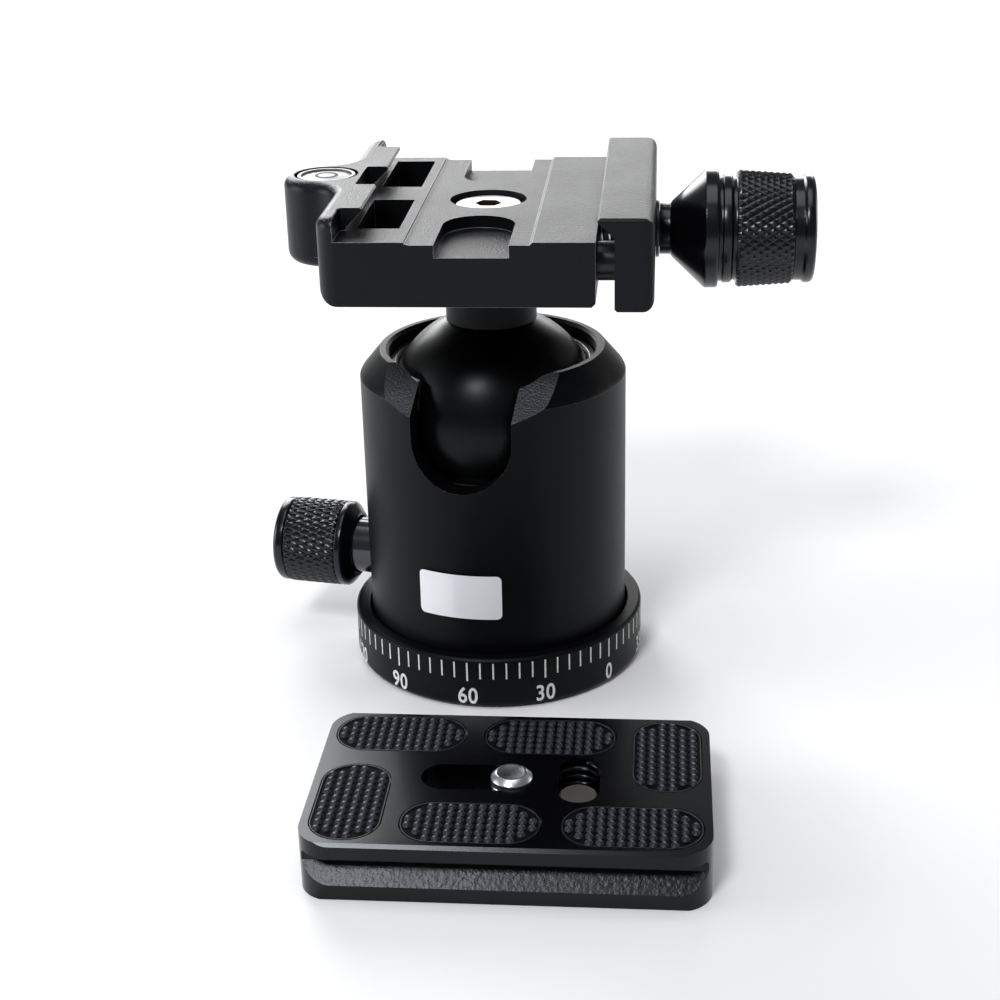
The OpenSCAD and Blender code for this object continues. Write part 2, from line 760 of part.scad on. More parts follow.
module moving_jaw() {
    y = clamp_l / 2;
    c = 1.4;
    color("#26272b") difference() {
        intersection() {
            along_y(-y, y) jaw_section();
            translate([0, 0, clamp_z - 2]) linear_extrude(height = clamp_h + jaw_rise + 4)
                polygon(concat([[0, -y]], arc([jaw_out - c, -y + c], c, 270, 360, 6),
                    arc([jaw_out - c, y - c], c, 0, 90, 6), [[0, y]]));
        }
        on_clamp_axis() bore(clamp_screw_d / 2 + 0.1, moving_face - cut, jaw_out + cut);
        on_clamp_axis() bore(spring_r + 0.2, moving_face - cut, moving_face + jaw_counterbore);
        for (s = [-1, 1]) on_clamp_axis(s * guide_pin_span / 2)
            bore(guide_pin_d / 2 + fit, moving_face - cut, moving_face + pin_seat);
    }
}

module clamp_washer() {
    color("#2d2d30") on_clamp_axis()
        tube(clamp_screw_d / 2 + 1.7, clamp_screw_d / 2 + 0.05, jaw_out + fit, jaw_out + washer_t);
}

module clamp_knob() {
    r = clamp_knob_d / 2;
    s = knob_in;
    color("#1a1a1c") on_clamp_axis() turned([
        [clamp_screw_d / 2, s], [4.2, s], [4.2, s + 1.8], [4.6, s + 2], [r - 0.3, s + 7.2],
        [r, s + 7.5], [r, s + 9.2], [r - 0.3, s + 9.5], [r - 0.9, s + 9.6], [r - 0.9, s + 10.6],
        [r - 0.7, s + 10.8], [r - 0.7, s + 12.2], [r - 0.9, s + 12.4], [r, s + 12.8],
        [r - 0.35, s + 21], [r - 0.7, s + knob_l], [clamp_screw_d / 2, s + knob_l]]);
}

module clamp_knob_cap() {
    r = clamp_knob_d / 2 - 0.95;
    s = knob_in + knob_l + fit;
    color("#222225") on_clamp_axis() turned([[0, s], [r - 0.3, s], [r - 0.4, s + 1], [r - 0.3, s + 2.4],
        [r, s + 2.9], [r, s + 3.7], [r - 0.4, s + 4.1], [r - 1.6, s + 4.3], [0, s + 4.4]]);
}

module clamp_screw() {
    color("silver") on_clamp_axis() rod(clamp_screw_d / 2, 8.6, knob_in + knob_l);
}

// ---- quick release plate ----

module plate_section() {
    w = plate_w / 2;
    top_rail = 2.5;
    neck = w - dovetail_depth;
    polygon([[-w + 0.3, 0], [w - 0.3, 0], [w, 0.3], [w, flange_h], [neck, flange_h + dovetail_depth],
        [neck, plate_h - top_rail - 0.6], [neck + 0.6, plate_h - top_rail], [w, plate_h - top_rail],
        [w, plate_h - 0.5], [w - 0.5, plate_h], [-w + 0.5, plate_h], [-w, plate_h - 0.5],
        [-w, plate_h - top_rail], [-neck - 0.6, plate_h - top_rail],
        [-neck, plate_h - top_rail - 0.6], [-neck, flange_h + dovetail_depth], [-w, flange_h]]);
}

// Places of the six pads on the plate: centre, and turned across or not
function pad_places() =
    let (x = plate_l / 2 - pad_edge, y = plate_w / 2 - pad_edge, far = x - pad_l / 2,
         near = x - pad_l - 2.9 - pad_l / 2, row = y - pad_w / 2)
    [[-far, row, 0], [-near, row, 0], [x - pad_w / 2, y - pad_l / 2, 90],
     [far, -row, 0], [near, -row, 0], [-x + pad_w / 2, -y + pad_l / 2, 90]];

module pad_shapes(grow) {
    for (p = pad_places()) translate([p[0], p[1]]) rotate(p[2])
        linear_extrude(height = pad_depth + pad_rise)
            rounded(pad_l + 2 * grow, pad_w + 2 * grow, pad_r + grow);
}

module plate_body() {
    slot_x = [-screw_slot_l, 0];
    color("#1e1f22") on_plate() difference() {
        intersection() {
            rotate([90, 0, 90]) translate([0, 0, -plate_l / 2]) linear_extrude(height = plate_l)
                plate_section();
            linear_extrude(height = plate_h) rounded(plate_l, plate_w, plate_r);
        }
        for (x = slot_x) translate([x, 0, 0]) {
            bore(screw_slot_r, -cut, plate_h + cut);
            bore(head_slot_r, -cut, ledge_z);
        }
        translate([-screw_slot_l, -screw_slot_r, -cut])
            cube([screw_slot_l, 2 * screw_slot_r, plate_h + 2 * cut]);
        translate([-screw_slot_l, -head_slot_r, -cut])
            cube([screw_slot_l, 2 * head_slot_r, ledge_z + cut]);
        translate([hole_x, hole_r, 0]) bore(hole_r, -cut, plate_h + cut);
        translate([hole_x, -hole_r, 0]) bore(hole_r, plate_h - 4, plate_h + cut);
        translate([hole_x - hole_r, -hole_r, plate_h - 2]) cube([2 * hole_r, 2 * hole_r, 2 + cut]);
        translate([0, 0, plate_h - pad_depth]) pad_shapes(0.1);
    }
}

module plate_pads() {
    color("#2b2f3a") on_plate() translate([0, 0, plate_h - pad_depth + fit]) pad_shapes(0);
}

module hole_plug() {
    color("#b9b6ad") on_plate() translate([hole_x, -hole_r, 0])
        rod(hole_r - 0.25, plate_h - 4 + fit, plate_h - 0.5);
}

module screw_retainer() {
    color("#8f9094") on_plate() tube(head_slot_r - 0.4, camera_thread_d / 2 + 0.05,
        ledge_z - 0.35, ledge_z - 0.05, small_fn);
}

module camera_screw() {
    r = camera_thread_d / 2;
    color("#d4d4d8") on_plate() difference() {
        turned([[0, 0.4], [head_slot_r - 1, 0.4], [head_slot_r - 0.6, 0.8],
                [head_slot_r - 0.6, ledge_z - 0.4], [r, ledge_z - 0.4],
                [r, plate_h + camera_screw_rise - 0.7], [r - 0.8, plate_h + camera_screw_rise],
                [0, plate_h + camera_screw_rise]], small_fn);
        translate([-head_slot_r, -0.7, -cut]) cube([2 * head_slot_r, 1.4, cut + 1.6]);
    }
}

base_plate();
scale_ring();
thread_bush();
pan_post();
post_screws();
retaining_washer();
retaining_screws();
thrust_washer();
housing();
bearing_block();
block_screws();
pan_bush();
upper_seat_ring();
lock_sleeve();
label();
lock_knob();
lock_knob_cap();
lock_spindle();
lock_wedge();
lift_plate();
pan_knob();
pan_spindle();
pan_shoe();
ball_cup();
ball();
stem();
clamp_body();
stem_bolt();
guide_pins();
level_case();
level_lens();
jaw_spring();
moving_jaw();
clamp_washer();
clamp_knob();
clamp_knob_cap();
clamp_screw();
plate_body();
plate_pads();
hole_plug();
screw_retainer();
camera_screw();
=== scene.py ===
import math

import bmesh
import bpy
from mathutils import Matrix, Vector


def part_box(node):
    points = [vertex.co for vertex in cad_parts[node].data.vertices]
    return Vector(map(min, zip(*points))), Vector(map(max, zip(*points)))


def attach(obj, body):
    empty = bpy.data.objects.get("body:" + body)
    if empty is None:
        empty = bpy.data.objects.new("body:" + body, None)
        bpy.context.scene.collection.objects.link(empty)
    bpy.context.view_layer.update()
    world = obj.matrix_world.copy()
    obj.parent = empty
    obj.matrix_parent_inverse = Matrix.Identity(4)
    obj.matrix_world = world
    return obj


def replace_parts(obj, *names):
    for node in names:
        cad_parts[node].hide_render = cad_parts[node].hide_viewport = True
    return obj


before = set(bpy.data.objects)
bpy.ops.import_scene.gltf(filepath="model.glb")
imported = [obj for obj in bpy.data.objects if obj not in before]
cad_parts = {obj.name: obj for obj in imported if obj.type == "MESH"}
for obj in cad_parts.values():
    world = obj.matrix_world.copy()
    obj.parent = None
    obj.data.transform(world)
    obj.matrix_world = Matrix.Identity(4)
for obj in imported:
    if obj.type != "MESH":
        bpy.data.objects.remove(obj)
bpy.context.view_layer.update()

# ---- The viewer ----
# A long lens a third of a metre away, looking down on the head from its front
# right and rolled by a degree, as a hand-held camera is.
stand = Vector((0.02885, -0.29649, 0.15466))
swung, lowered, rolled = math.radians(5.43), math.radians(23.0), math.radians(1.43)
ahead = Vector((
    -math.sin(swung) * math.cos(lowered), math.cos(swung) * math.cos(lowered), -math.sin(lowered)))
level_side = Vector((math.cos(swung), math.sin(swung), 0.0))
level_down = ahead.cross(level_side)
side = level_side * math.cos(rolled) + level_down * math.sin(rolled)
down = level_down * math.cos(rolled) - level_side * math.sin(rolled)
lens = bpy.data.cameras.new("camera")
lens.lens = 64.87
lens.sensor_width = 36.0
lens.clip_start = 0.01
lens.clip_end = 20.0
camera = bpy.data.objects.new("camera", lens)
bpy.context.collection.objects.link(camera)
camera.matrix_world = Matrix((
    (side.x, -down.x, -ahead.x, stand.x),
    (side.y, -down.y, -ahead.y, stand.y),
    (side.z, -down.z, -ahead.z, stand.z),
    (0.0, 0.0, 0.0, 1.0)))
bpy.context.scene.camera = camera
bpy.context.scene.view_settings.view_transform = "Standard"

# ---- The table ----
# A sheet of white paper rolled out under the head and its plate, so wide that
# none of its edges shows.
paper = bpy.data.materials.new("white_paper")
paper.use_nodes = True
paper_shader = paper.node_tree.nodes["Principled BSDF"]
paper_shader.inputs["Base Color"].default_value = (0.93, 0.935, 0.95, 1.0)
paper_shader.inputs["Roughness"].default_value = 0.9
paper_shader.inputs["Specular IOR Level"].default_value = 0.1
paper_reach, paper_below = 4.0, 0.00005
sheet = bmesh.new()
bmesh.ops.create_grid(sheet, x_segments=1, y_segments=1, size=paper_reach)
bmesh.ops.translate(sheet, verts=sheet.verts, vec=(0.0, 0.0, -paper_below))
table_mesh = bpy.data.meshes.new("table")
sheet.to_mesh(table_mesh)
sheet.free()
table_mesh.materials.append(paper)
table = bpy.data.objects.new("table", table_mesh)
bpy.context.collection.objects.link(table)

# ---- The light ----
# A white tent all round. Two panels stand behind the head, one low on each side
# and one hangs above. A small bright one in front to the left lights ball and knobs.
tent = bpy.data.worlds.new("tent")
bpy.context.scene.world = tent
tent.use_nodes = True
tent_cloth = tent.node_tree.nodes["Background"]
tent_cloth.inputs["Color"].default_value = (1.0, 1.0, 1.0, 1.0)
tent_cloth.inputs["Strength"].default_value = 0.18


def soft_box(name, place, aim, width, height, glow):
    """A soft box with its cloth at place, turned towards aim, glow times as bright as white."""
    lamp = bpy.data.lights.new(name, "AREA")
    lamp.shape = "RECTANGLE"
    lamp.size = width
    lamp.size_y = height
    lamp.energy = glow * math.pi * width * height
    box = bpy.data.objects.new(name, lamp)
    bpy.context.collection.objects.link(box)
    turn = (Vector(aim) - Vector(place)).to_track_quat("-Z", "Y").to_matrix().to_4x4()
    box.matrix_world = Matrix.Translation(place) @ turn


soft_box("box_over", (0.0, -0.10, 1.2), (0.0, -0.02, 0.04), 0.8, 0.8, 2.3)
soft_box("box_behind", (-0.07, 1.25, 0.35), (0.0, 0.0, 0.08), 1.0, 0.40, 4.2)
soft_box("box_back_left", (-0.46, 0.93, 0.58), (0.0, -0.04, 0.04), 0.46, 0.70, 7.5)
soft_box("box_left", (-0.85, -0.10, 0.22), (0.0, 0.0, 0.05), 0.5, 0.40, 5.0)
soft_box("box_right", (0.85, 0.45, 0.14), (0.0, 0.0, 0.03), 0.4, 0.28, 3.4)
soft_box("box_key", (-0.21, -0.60, 0.72), (0.0, 0.0, 0.05), 0.20, 0.20, 28.0)

# ---- Base plate ----
# The disc that the head stands on: turned aluminium, black anodised, with a
# recess for each of the three screws that hold it to the pan post.


def finished(shape, name, place, body, finish, edge=0.0, segments=2, from_angle=28.0):
    """The mesh of a piece put in its place, with its edges broken by edge metres."""
    bmesh.ops.transform(shape, matrix=place, verts=shape.verts)
    mesh = bpy.data.meshes.new(name)
    shape.to_mesh(mesh)
    shape.free()
    mesh.materials.append(finish)
    piece = bpy.data.objects.new(name, mesh)
    bpy.context.collection.objects.link(piece)
    if edge:
        broken = piece.modifiers.new("broken_edges", "BEVEL")
        broken.width = edge
        broken.segments = segments
        broken.limit_method = "ANGLE"
        broken.angle_limit = math.radians(from_angle)
        broken.loop_slide = False
        piece.modifiers.new("flat_faces", "WEIGHTED_NORMAL")
    else:
        mesh.set_sharp_from_angle(angle=math.radians(from_angle))
    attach(piece, body)
    return piece


def machined(node, body, finish, edge, segments=2, from_angle=28.0, rounding=(), recut=None):
    """A piece cut to its solid's shape, with its edges broken by edge metres. First recut, if there
    is one, moves its points, and rounding lists bigger radii as (radius, test of an edge's ends)."""
    shape = bmesh.new()
    shape.from_mesh(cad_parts[node].data)
    bmesh.ops.remove_doubles(shape, verts=shape.verts, dist=2e-6)
    if recut:
        for vert in shape.verts:
            vert.co = recut(vert.co * 1000.0) * 0.001
        bmesh.ops.remove_doubles(shape, verts=shape.verts, dist=2e-6)
    bmesh.ops.dissolve_limit(shape, angle_limit=math.radians(0.5), verts=shape.verts, edges=shape.edges)
    for radius, chosen in rounding:
        corners = [line for line in shape.edges if len(line.link_faces) == 2
                   and line.calc_face_angle() > math.radians(50.0)
                   and chosen(*(end.co * 1000.0 for end in line.verts))]
        bmesh.ops.bevel(shape, geom=corners, offset=radius, offset_type="OFFSET", segments=5, profile=0.5,
                        affect="EDGES", material=-1, clamp_overlap=False, loop_slide=False)
    for face in shape.faces:
        face.smooth = True
    piece = finished(shape, node, Matrix.Identity(4), body, finish, edge, segments, from_angle)
    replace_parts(piece, node)
    return piece


def anodised(name, colour, rough, grain, depth, gloss, clouds=0.06):
    """Anodised aluminium: a dull coat with the fine grain of the blasted metal under it."""
    coat = bpy.data.materials.new(name)
    coat.use_nodes = True
    nodes, links = coat.node_tree.nodes, coat.node_tree.links
    shader = nodes["Principled BSDF"]
    shader.inputs["Specular IOR Level"].default_value = gloss
    shader.inputs["Specular Tint"].default_value = (0.86, 0.92, 1.0, 1.0)
    place = nodes.new("ShaderNodeTexCoord")
    cloud = nodes.new("ShaderNodeTexNoise")
    cloud.inputs["Scale"].default_value = 90.0
    cloud.inputs["Detail"].default_value = 4.0
    links.new(place.outputs["Object"], cloud.inputs["Vector"])
    shade = nodes.new("ShaderNodeMapRange")
    shade.inputs["To Min"].default_value = rough - clouds
    shade.inputs["To Max"].default_value = rough + clouds
    links.new(cloud.outputs["Fac"], shade.inputs["Value"])
    links.new(shade.outputs["Result"], shader.inputs["Roughness"])
    tint = nodes.new("ShaderNodeMixRGB")
    tint.inputs["Color1"].default_value = (*[0.8 * c for c in colour], 1.0)
    tint.inputs["Color2"].default_value = (*[1.25 * c for c in colour], 1.0)
    speck = nodes.new("ShaderNodeTexNoise")
    speck.inputs["Scale"].default_value = grain
    speck.inputs["Detail"].default_value = 3.0
    links.new(place.outputs["Object"], speck.inputs["Vector"])
    links.new(speck.outputs["Fac"], tint.inputs["Fac"])
    links.new(tint.outputs["Color"], shader.inputs["Base Color"])
    bump = nodes.new("ShaderNodeBump")
    bump.inputs["Strength"].default_value = 1.0
    bump.inputs["Distance"].default_value = depth
    links.new(speck.outputs["Fac"], bump.inputs["Height"])
    links.new(bump.outputs["Normal"], shader.inputs["Normal"])
    return coat


satin_black = anodised("satin_black_anodised", (0.0018, 0.0020, 0.0027), 0.42, 5000.0, 0.000003, 0.13)
machined("base_plate", "base", satin_black, 0.0001)

# ---- Scale ring ----
# The ring round the foot of the housing: turned aluminium, black anodised and
# fixed to the base plate. Its ticks and numbers are engraved and filled with
# white paint, one tick each 5 degrees and a long one with its number each 30.
machined("scale_ring", "base", satin_black, 0.0002)

white_paint = bpy.data.materials.new("white_paint")
white_paint.use_nodes = True
paint_nodes, paint_links = white_paint.node_tree.nodes, white_paint.node_tree.links
paint_shader = paint_nodes["Principled BSDF"]
paint_shader.inputs["Roughness"].default_value = 0.55
paint_place = paint_nodes.new("ShaderNodeTexCoord")
paint_noise = paint_nodes.new("ShaderNodeTexNoise")
paint_noise.inputs["Scale"].default_value = 1800.0
paint_links.new(paint_place.outputs["Object"], paint_noise.inputs["Vector"])
paint_wear = paint_nodes.new("ShaderNodeMixRGB")
paint_wear.inputs["Color1"].default_value = (0.45, 0.46, 0.47, 1.0)
paint_wear.inputs["Color2"].default_value = (0.95, 0.95, 0.95, 1.0)
paint_links.new(paint_noise.outputs["Fac"], paint_wear.inputs["Fac"])
paint_links.new(paint_wear.outputs["Color"], paint_shader.inputs["Base Color"])


def painted(shape, name):
    """Marks in white paint on the ring."""
    mesh = bpy.data.meshes.new(name)
    shape.to_mesh(mesh)
    shape.free()
    mesh.materials.append(white_paint)
    marks = bpy.data.objects.new(name, mesh)
    bpy.context.collection.objects.link(marks)
    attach(marks, "base")


ring_radius = round(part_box("scale_ring")[1].x, 6)
zero_at, tick_every, number_every = -37.3, 5, 30
tick_top, tick_foot, long_foot = 0.0089, 0.0059, 0.0054
tick_width, long_width, paint_depth = 0.00027, 0.00030, 0.00004
ticks = bmesh.new()
for angle in range(0, 360, tick_every):
    numbered = angle % number_every == 0
    foot, width = (long_foot, long_width) if numbered else (tick_foot, tick_width)
    where = (Matrix.Rotation(math.radians(zero_at - angle), 4, "Z")
             @ Matrix.Translation((ring_radius, 0.0, (foot + tick_top) / 2.0))
             @ Matrix.Diagonal((paint_depth, width, tick_top - foot, 1.0)))
    bmesh.ops.create_cube(ticks, size=1.0, matrix=where)
painted(ticks, "scale_ticks")

figure_height, figure_foot, figure_narrow = 0.0042, 0.00115, 0.82
figures = bmesh.new()
for number in range(0, 360, number_every):
    words = bpy.data.curves.new("figure", "FONT")
    words.body = str(number)
    words.size = figure_height
    words.align_x = "CENTER"
    words.space_character = 1.08
    words.extrude = paint_depth / 2.0
    words.offset = 0.00007
    written = bpy.data.objects.new("figure", words)
    bpy.context.collection.objects.link(written)
    bpy.context.view_layer.update()
    flat = bpy.data.meshes.new_from_object(written.evaluated_get(bpy.context.evaluated_depsgraph_get()))
    for point in flat.vertices:
        around = math.radians(zero_at - number) + point.co.x * figure_narrow / ring_radius
        out = ring_radius + point.co.z
        point.co = (out * math.cos(around), out * math.sin(around), figure_foot + point.co.y)
    figures.from_mesh(flat)
    bpy.data.objects.remove(written)
    bpy.data.curves.remove(words)
    bpy.data.meshes.remove(flat)
painted(figures, "scale_figures")

# ---- Inside the base ----
# The steel thread bush, the aluminium post that the head pans on, its screws
# and retaining washer, and the slippery washer between base and housing.


def bare_metal(name, colour, rough, grain=900.0):
    """Bare machined metal: bright, with the fine lines the tool left."""
    metal = bpy.data.materials.new(name)
    metal.use_nodes = True
    nodes, links = metal.node_tree.nodes, metal.node_tree.links
    shader = nodes["Principled BSDF"]
    shader.inputs["Metallic"].default_value = 1.0
    place = nodes.new("ShaderNodeTexCoord")
    lines = nodes.new("ShaderNodeTexNoise")
    lines.inputs["Scale"].default_value = grain
    lines.inputs["Detail"].default_value = 5.0
    links.new(place.outputs["Object"], lines.inputs["Vector"])
    rub = nodes.new("ShaderNodeMapRange")
    rub.inputs["To Min"].default_value = rough * 0.7
    rub.inputs["To Max"].default_value = rough * 1.4
    links.new(lines.outputs["Fac"], rub.inputs["Value"])
    links.new(rub.outputs["Result"], shader.inputs["Roughness"])
    tint = nodes.new("ShaderNodeMixRGB")
    tint.inputs["Color1"].default_value = (*[0.85 * c for c in colour], 1.0)
    tint.inputs["Color2"].default_value = (*colour, 1.0)
    links.new(lines.outputs["Fac"], tint.inputs["Fac"])
    links.new(tint.outputs["Color"], shader.inputs["Base Color"])
    return metal


def moulded(name, colour, rough, gloss=0.4):
    """Moulded plastic with a slightly uneven skin."""
    plastic = bpy.data.materials.new(name)
    plastic.use_nodes = True
    nodes, links = plastic.node_tree.nodes, plastic.node_tree.links
    shader = nodes["Principled BSDF"]
    shader.inputs["Specular IOR Level"].default_value = gloss
    place = nodes.new("ShaderNodeTexCoord")
    skin = nodes.new("ShaderNodeTexNoise")
    skin.inputs["Scale"].default_value = 700.0
    skin.inputs["Detail"].default_value = 4.0
    links.new(place.outputs["Object"], skin.inputs["Vector"])
    rub = nodes.new("ShaderNodeMapRange")
    rub.inputs["To Min"].default_value = rough * 0.85
    rub.inputs["To Max"].default_value = rough * 1.2
    links.new(skin.outputs["Fac"], rub.inputs["Value"])
    links.new(rub.outputs["Result"], shader.inputs["Roughness"])
    tint = nodes.new("ShaderNodeMixRGB")
    tint.inputs["Color1"].default_value = (*[0.85 * c for c in colour], 1.0)
    tint.inputs["Color2"].default_value = (*colour, 1.0)
    links.new(skin.outputs["Fac"], tint.inputs["Fac"])
    links.new(tint.outputs["Color"], shader.inputs["Base Color"])
    return plastic


bright_steel = bare_metal("bright_steel", (0.62, 0.62, 0.63), 0.22)
plain_alloy = bare_metal("plain_alloy", (0.45, 0.45, 0.46), 0.35)
acetal = moulded("natural_acetal", (0.70, 0.68, 0.62), 0.45)
for node, slot, finish in (
        ("thread_bush", "steel", bright_steel), ("pan_post", "inner_alloy", plain_alloy),
        ("post_screws", "steel", bright_steel), ("retaining_washer", "steel", bright_steel),
        ("retaining_screws", "steel", bright_steel), ("thrust_washer", "cup", acetal)):
    machined(node, "base", finish, 0.00008, 1)

# ---- Housing ----
# The barrel of the head, turned from aluminium bar, bored for the ball and
# milled for the drop notch, then black anodised with a satin face. The flats
# beside the notch are left as the cutter and the blasting made them.


def refinished(piece, finish, chosen):
    """Another finish on the chosen faces of a piece."""
    piece.data.materials.append(finish)
    for face in piece.data.polygons:
        if chosen(face):
            face.material_index = len(piece.data.materials) - 1


def edged(piece, finish):
    """A lighter colour on the broken edges of a piece: a painted highlight along them."""
    piece.data.materials.append(finish)
    piece.modifiers["broken_edges"].material = len(piece.data.materials) - 1


head_turn, flat_slope = math.radians(-9.7), math.radians(36.3)
flat_way = Vector((math.sin(head_turn) * math.sin(flat_slope),
                   -math.cos(head_turn) * math.sin(flat_slope), math.cos(flat_slope)))
housing = machined("housing", "housing", satin_black, 0.00022, 3, 24.0)
blasted_black = anodised("blasted_black_anodised", (0.026, 0.028, 0.033), 0.42, 2600.0, 0.00018, 0.9)
refinished(housing, blasted_black, lambda face: face.normal.dot(flat_way) > 0.999)
# Its broken edges are painted a lighter grey: a painted highlight along them.
edged(housing, anodised("painted_edge_highlight", (0.13, 0.135, 0.145), 0.34, 3000.0, 0.000005, 1.0, 0.05))

# The block that closes the barrel from below, its screws, the brass bush it
# pans in and the ring that the ball presses up against.
black_steel = anodised("black_oxide_steel", (0.010, 0.010, 0.011), 0.28, 4000.0, 0.000004, 0.5)
turned_brass = bare_metal("turned_brass", (0.56, 0.40, 0.20), 0.32)
dark_acetal = moulded("dark_acetal", (0.035, 0.035, 0.038), 0.30)
machined("bearing_block", "housing", plain_alloy, 0.0001, 1)
machined("block_screws", "housing", black_steel, 0.00006, 1)
machined("pan_bush", "housing", turned_brass, 0.0001, 1)
machined("upper_seat_ring", "housing", dark_acetal, 0.0001, 2)

# ---- Label ----
# A blank sticker with round corners, white film under a dome of clear resin,
# stuck on the housing below the notch.
resin = bpy.data.materials.new("domed_white_resin")
resin.use_nodes = True
resin_nodes, resin_links = resin.node_tree.nodes, resin.node_tree.links
resin_shader = resin_nodes["Principled BSDF"]
resin_shader.inputs["Roughness"].default_value = 0.25
resin_shader.inputs["Coat Weight"].default_value = 1.0
resin_shader.inputs["Coat Roughness"].default_value = 0.05
resin_place = resin_nodes.new("ShaderNodeTexCoord")
resin_noise = resin_nodes.new("ShaderNodeTexNoise")
resin_noise.inputs["Scale"].default_value = 120.0
resin_links.new(resin_place.outputs["Object"], resin_noise.inputs["Vector"])
resin_tint = resin_nodes.new("ShaderNodeMixRGB")
resin_tint.inputs["Color1"].default_value = (0.76, 0.79, 0.84, 1.0)
resin_tint.inputs["Color2"].default_value = (0.88, 0.90, 0.93, 1.0)
resin_links.new(resin_noise.outputs["Fac"], resin_tint.inputs["Fac"])
resin_links.new(resin_tint.outputs["Color"], resin_shader.inputs["Base Color"])

label_width, label_height, label_corner = 14.6, 8.1, 0.9
label_at, label_turn = 20.1, head_turn + math.radians(-91.5)
label_back, label_face = 23.12, 23.2
rim_slope, rim_rise, dome_slope, dome_rise = 0.18, 0.22, 0.35, 0.14
sticker = bmesh.new()
bmesh.ops.create_grid(sticker, x_segments=1, y_segments=1, size=0.5)
bmesh.ops.scale(sticker, verts=sticker.verts, vec=(label_width, label_height, 1.0))
bmesh.ops.bevel(sticker, geom=sticker.verts[:], offset=label_corner, segments=5, profile=0.5,
                affect="VERTICES", material=-1)
bmesh.ops.inset_region(sticker, faces=sticker.faces[:], thickness=rim_slope, depth=rim_rise)
dome = max(sticker.faces, key=lambda face: face.calc_area())
bmesh.ops.inset_region(sticker, faces=[dome], thickness=dome_slope, depth=dome_rise)
# Cut across at each millimetre, so that it follows the barrel.
for cut_at in range(-7, 8):
    bmesh.ops.bisect_plane(sticker, geom=sticker.verts[:] + sticker.edges[:] + sticker.faces[:], dist=1e-5,
                           plane_co=(cut_at, 0.0, 0.0), plane_no=(1.0, 0.0, 0.0))
for vert in sticker.verts:
    around, out = label_turn + vert.co.x / label_face, label_back + vert.co.z
    vert.co = (0.001 * out * math.cos(around), 0.001 * out * math.sin(around),
               0.001 * (label_at + vert.co.y))
for face in sticker.faces:
    face.smooth = True
label = finished(sticker, "label", Matrix.Identity(4), "housing", resin, 0.0, 1, 60.0)
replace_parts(label, "label")

# ---- Ball lock ----
# The knob, cap, spindle and sleeve that clamp the ball: turned aluminium with
# a diamond knurl, black anodised, on a steel spindle in a polished sleeve.


def turned(name, outline, place, body, finish, edge=0.00012):
    """A turned piece: its outline, (radius, distance along) in millimetres, spun about +Z."""
    shape = bmesh.new()
    points = [shape.verts.new((radius * 0.001, 0.0, along * 0.001)) for radius, along in outline]
    lines = [shape.edges.new(pair) for pair in zip(points, points[1:])]
    bmesh.ops.spin(shape, geom=points + lines, cent=(0.0, 0.0, 0.0), axis=(0.0, 0.0, 1.0),
                   angle=2.0 * math.pi, steps=128, use_merge=True)
    bmesh.ops.remove_doubles(shape, verts=shape.verts, dist=1e-7)
    bmesh.ops.recalc_face_normals(shape, faces=shape.faces)
    for face in shape.faces:
        face.smooth = True
    return finished(shape, name, place, body, finish, edge)


def knurled(name, start, end, radius, end_radius, around, cell, slope, height, place, body, finish):
    """A sleeve of diamond knurling along +Z, in millimetres: around diamonds round it, each cell
    long, with sides that slope in by slope over their height."""
    wide = 2.0 * math.pi * radius / around
    count = around + math.ceil((end - start) / cell) + 3
    sleeve = bmesh.new()
    bmesh.ops.create_grid(sleeve, x_segments=count, y_segments=count, size=count / 2.0)
    bmesh.ops.rotate(sleeve, verts=sleeve.verts, cent=(0.0, 0.0, 0.0),
                     matrix=Matrix.Rotation(math.radians(45.0), 3, "Z"))
    bmesh.ops.scale(sleeve, verts=sleeve.verts, vec=(wide / math.sqrt(2.0), cell / math.sqrt(2.0), 1.0))
    half, reach = math.pi * radius, (end - start) / 2.0
    for point, way in (((half, 0.0, 0.0), (1.0, 0.0, 0.0)), ((-half, 0.0, 0.0), (-1.0, 0.0, 0.0)),
                       ((0.0, reach, 0.0), (0.0, 1.0, 0.0)), ((0.0, -reach, 0.0), (0.0, -1.0, 0.0))):
        bmesh.ops.bisect_plane(sleeve, geom=sleeve.verts[:] + sleeve.edges[:] + sleeve.faces[:], dist=1e-5,
                               plane_co=point, plane_no=way, clear_outer=True)
    for vert in sleeve.verts:
        turn, along = vert.co.x / radius, vert.co.y + reach
        thick = radius + (end_radius - radius) * along / (end - start)
        vert.co = (thick * math.cos(turn), thick * math.sin(turn), start + along)
    bmesh.ops.remove_doubles(sleeve, verts=sleeve.verts, dist=1e-3)
    seam = [line for line in sleeve.edges if len(line.link_faces) == 2
            and all(end.co.x < 0.0 and abs(end.co.y) < 1e-3 for end in line.verts)]
    bmesh.ops.dissolve_edges(sleeve, edges=seam, use_verts=False)
    bmesh.ops.recalc_face_normals(sleeve, faces=sleeve.faces)
    whole = max(face.calc_area() for face in sleeve.faces)
    cells = [face for face in sleeve.faces if face.calc_area() > 0.3 * whole]
    bmesh.ops.inset_individual(sleeve, faces=cells, thickness=slope, depth=height, use_even_offset=True)
    bmesh.ops.scale(sleeve, verts=sleeve.verts, vec=(0.001, 0.001, 0.001))
    return finished(sleeve, name, place, body, finish, 0.00004, 1, 15.0)


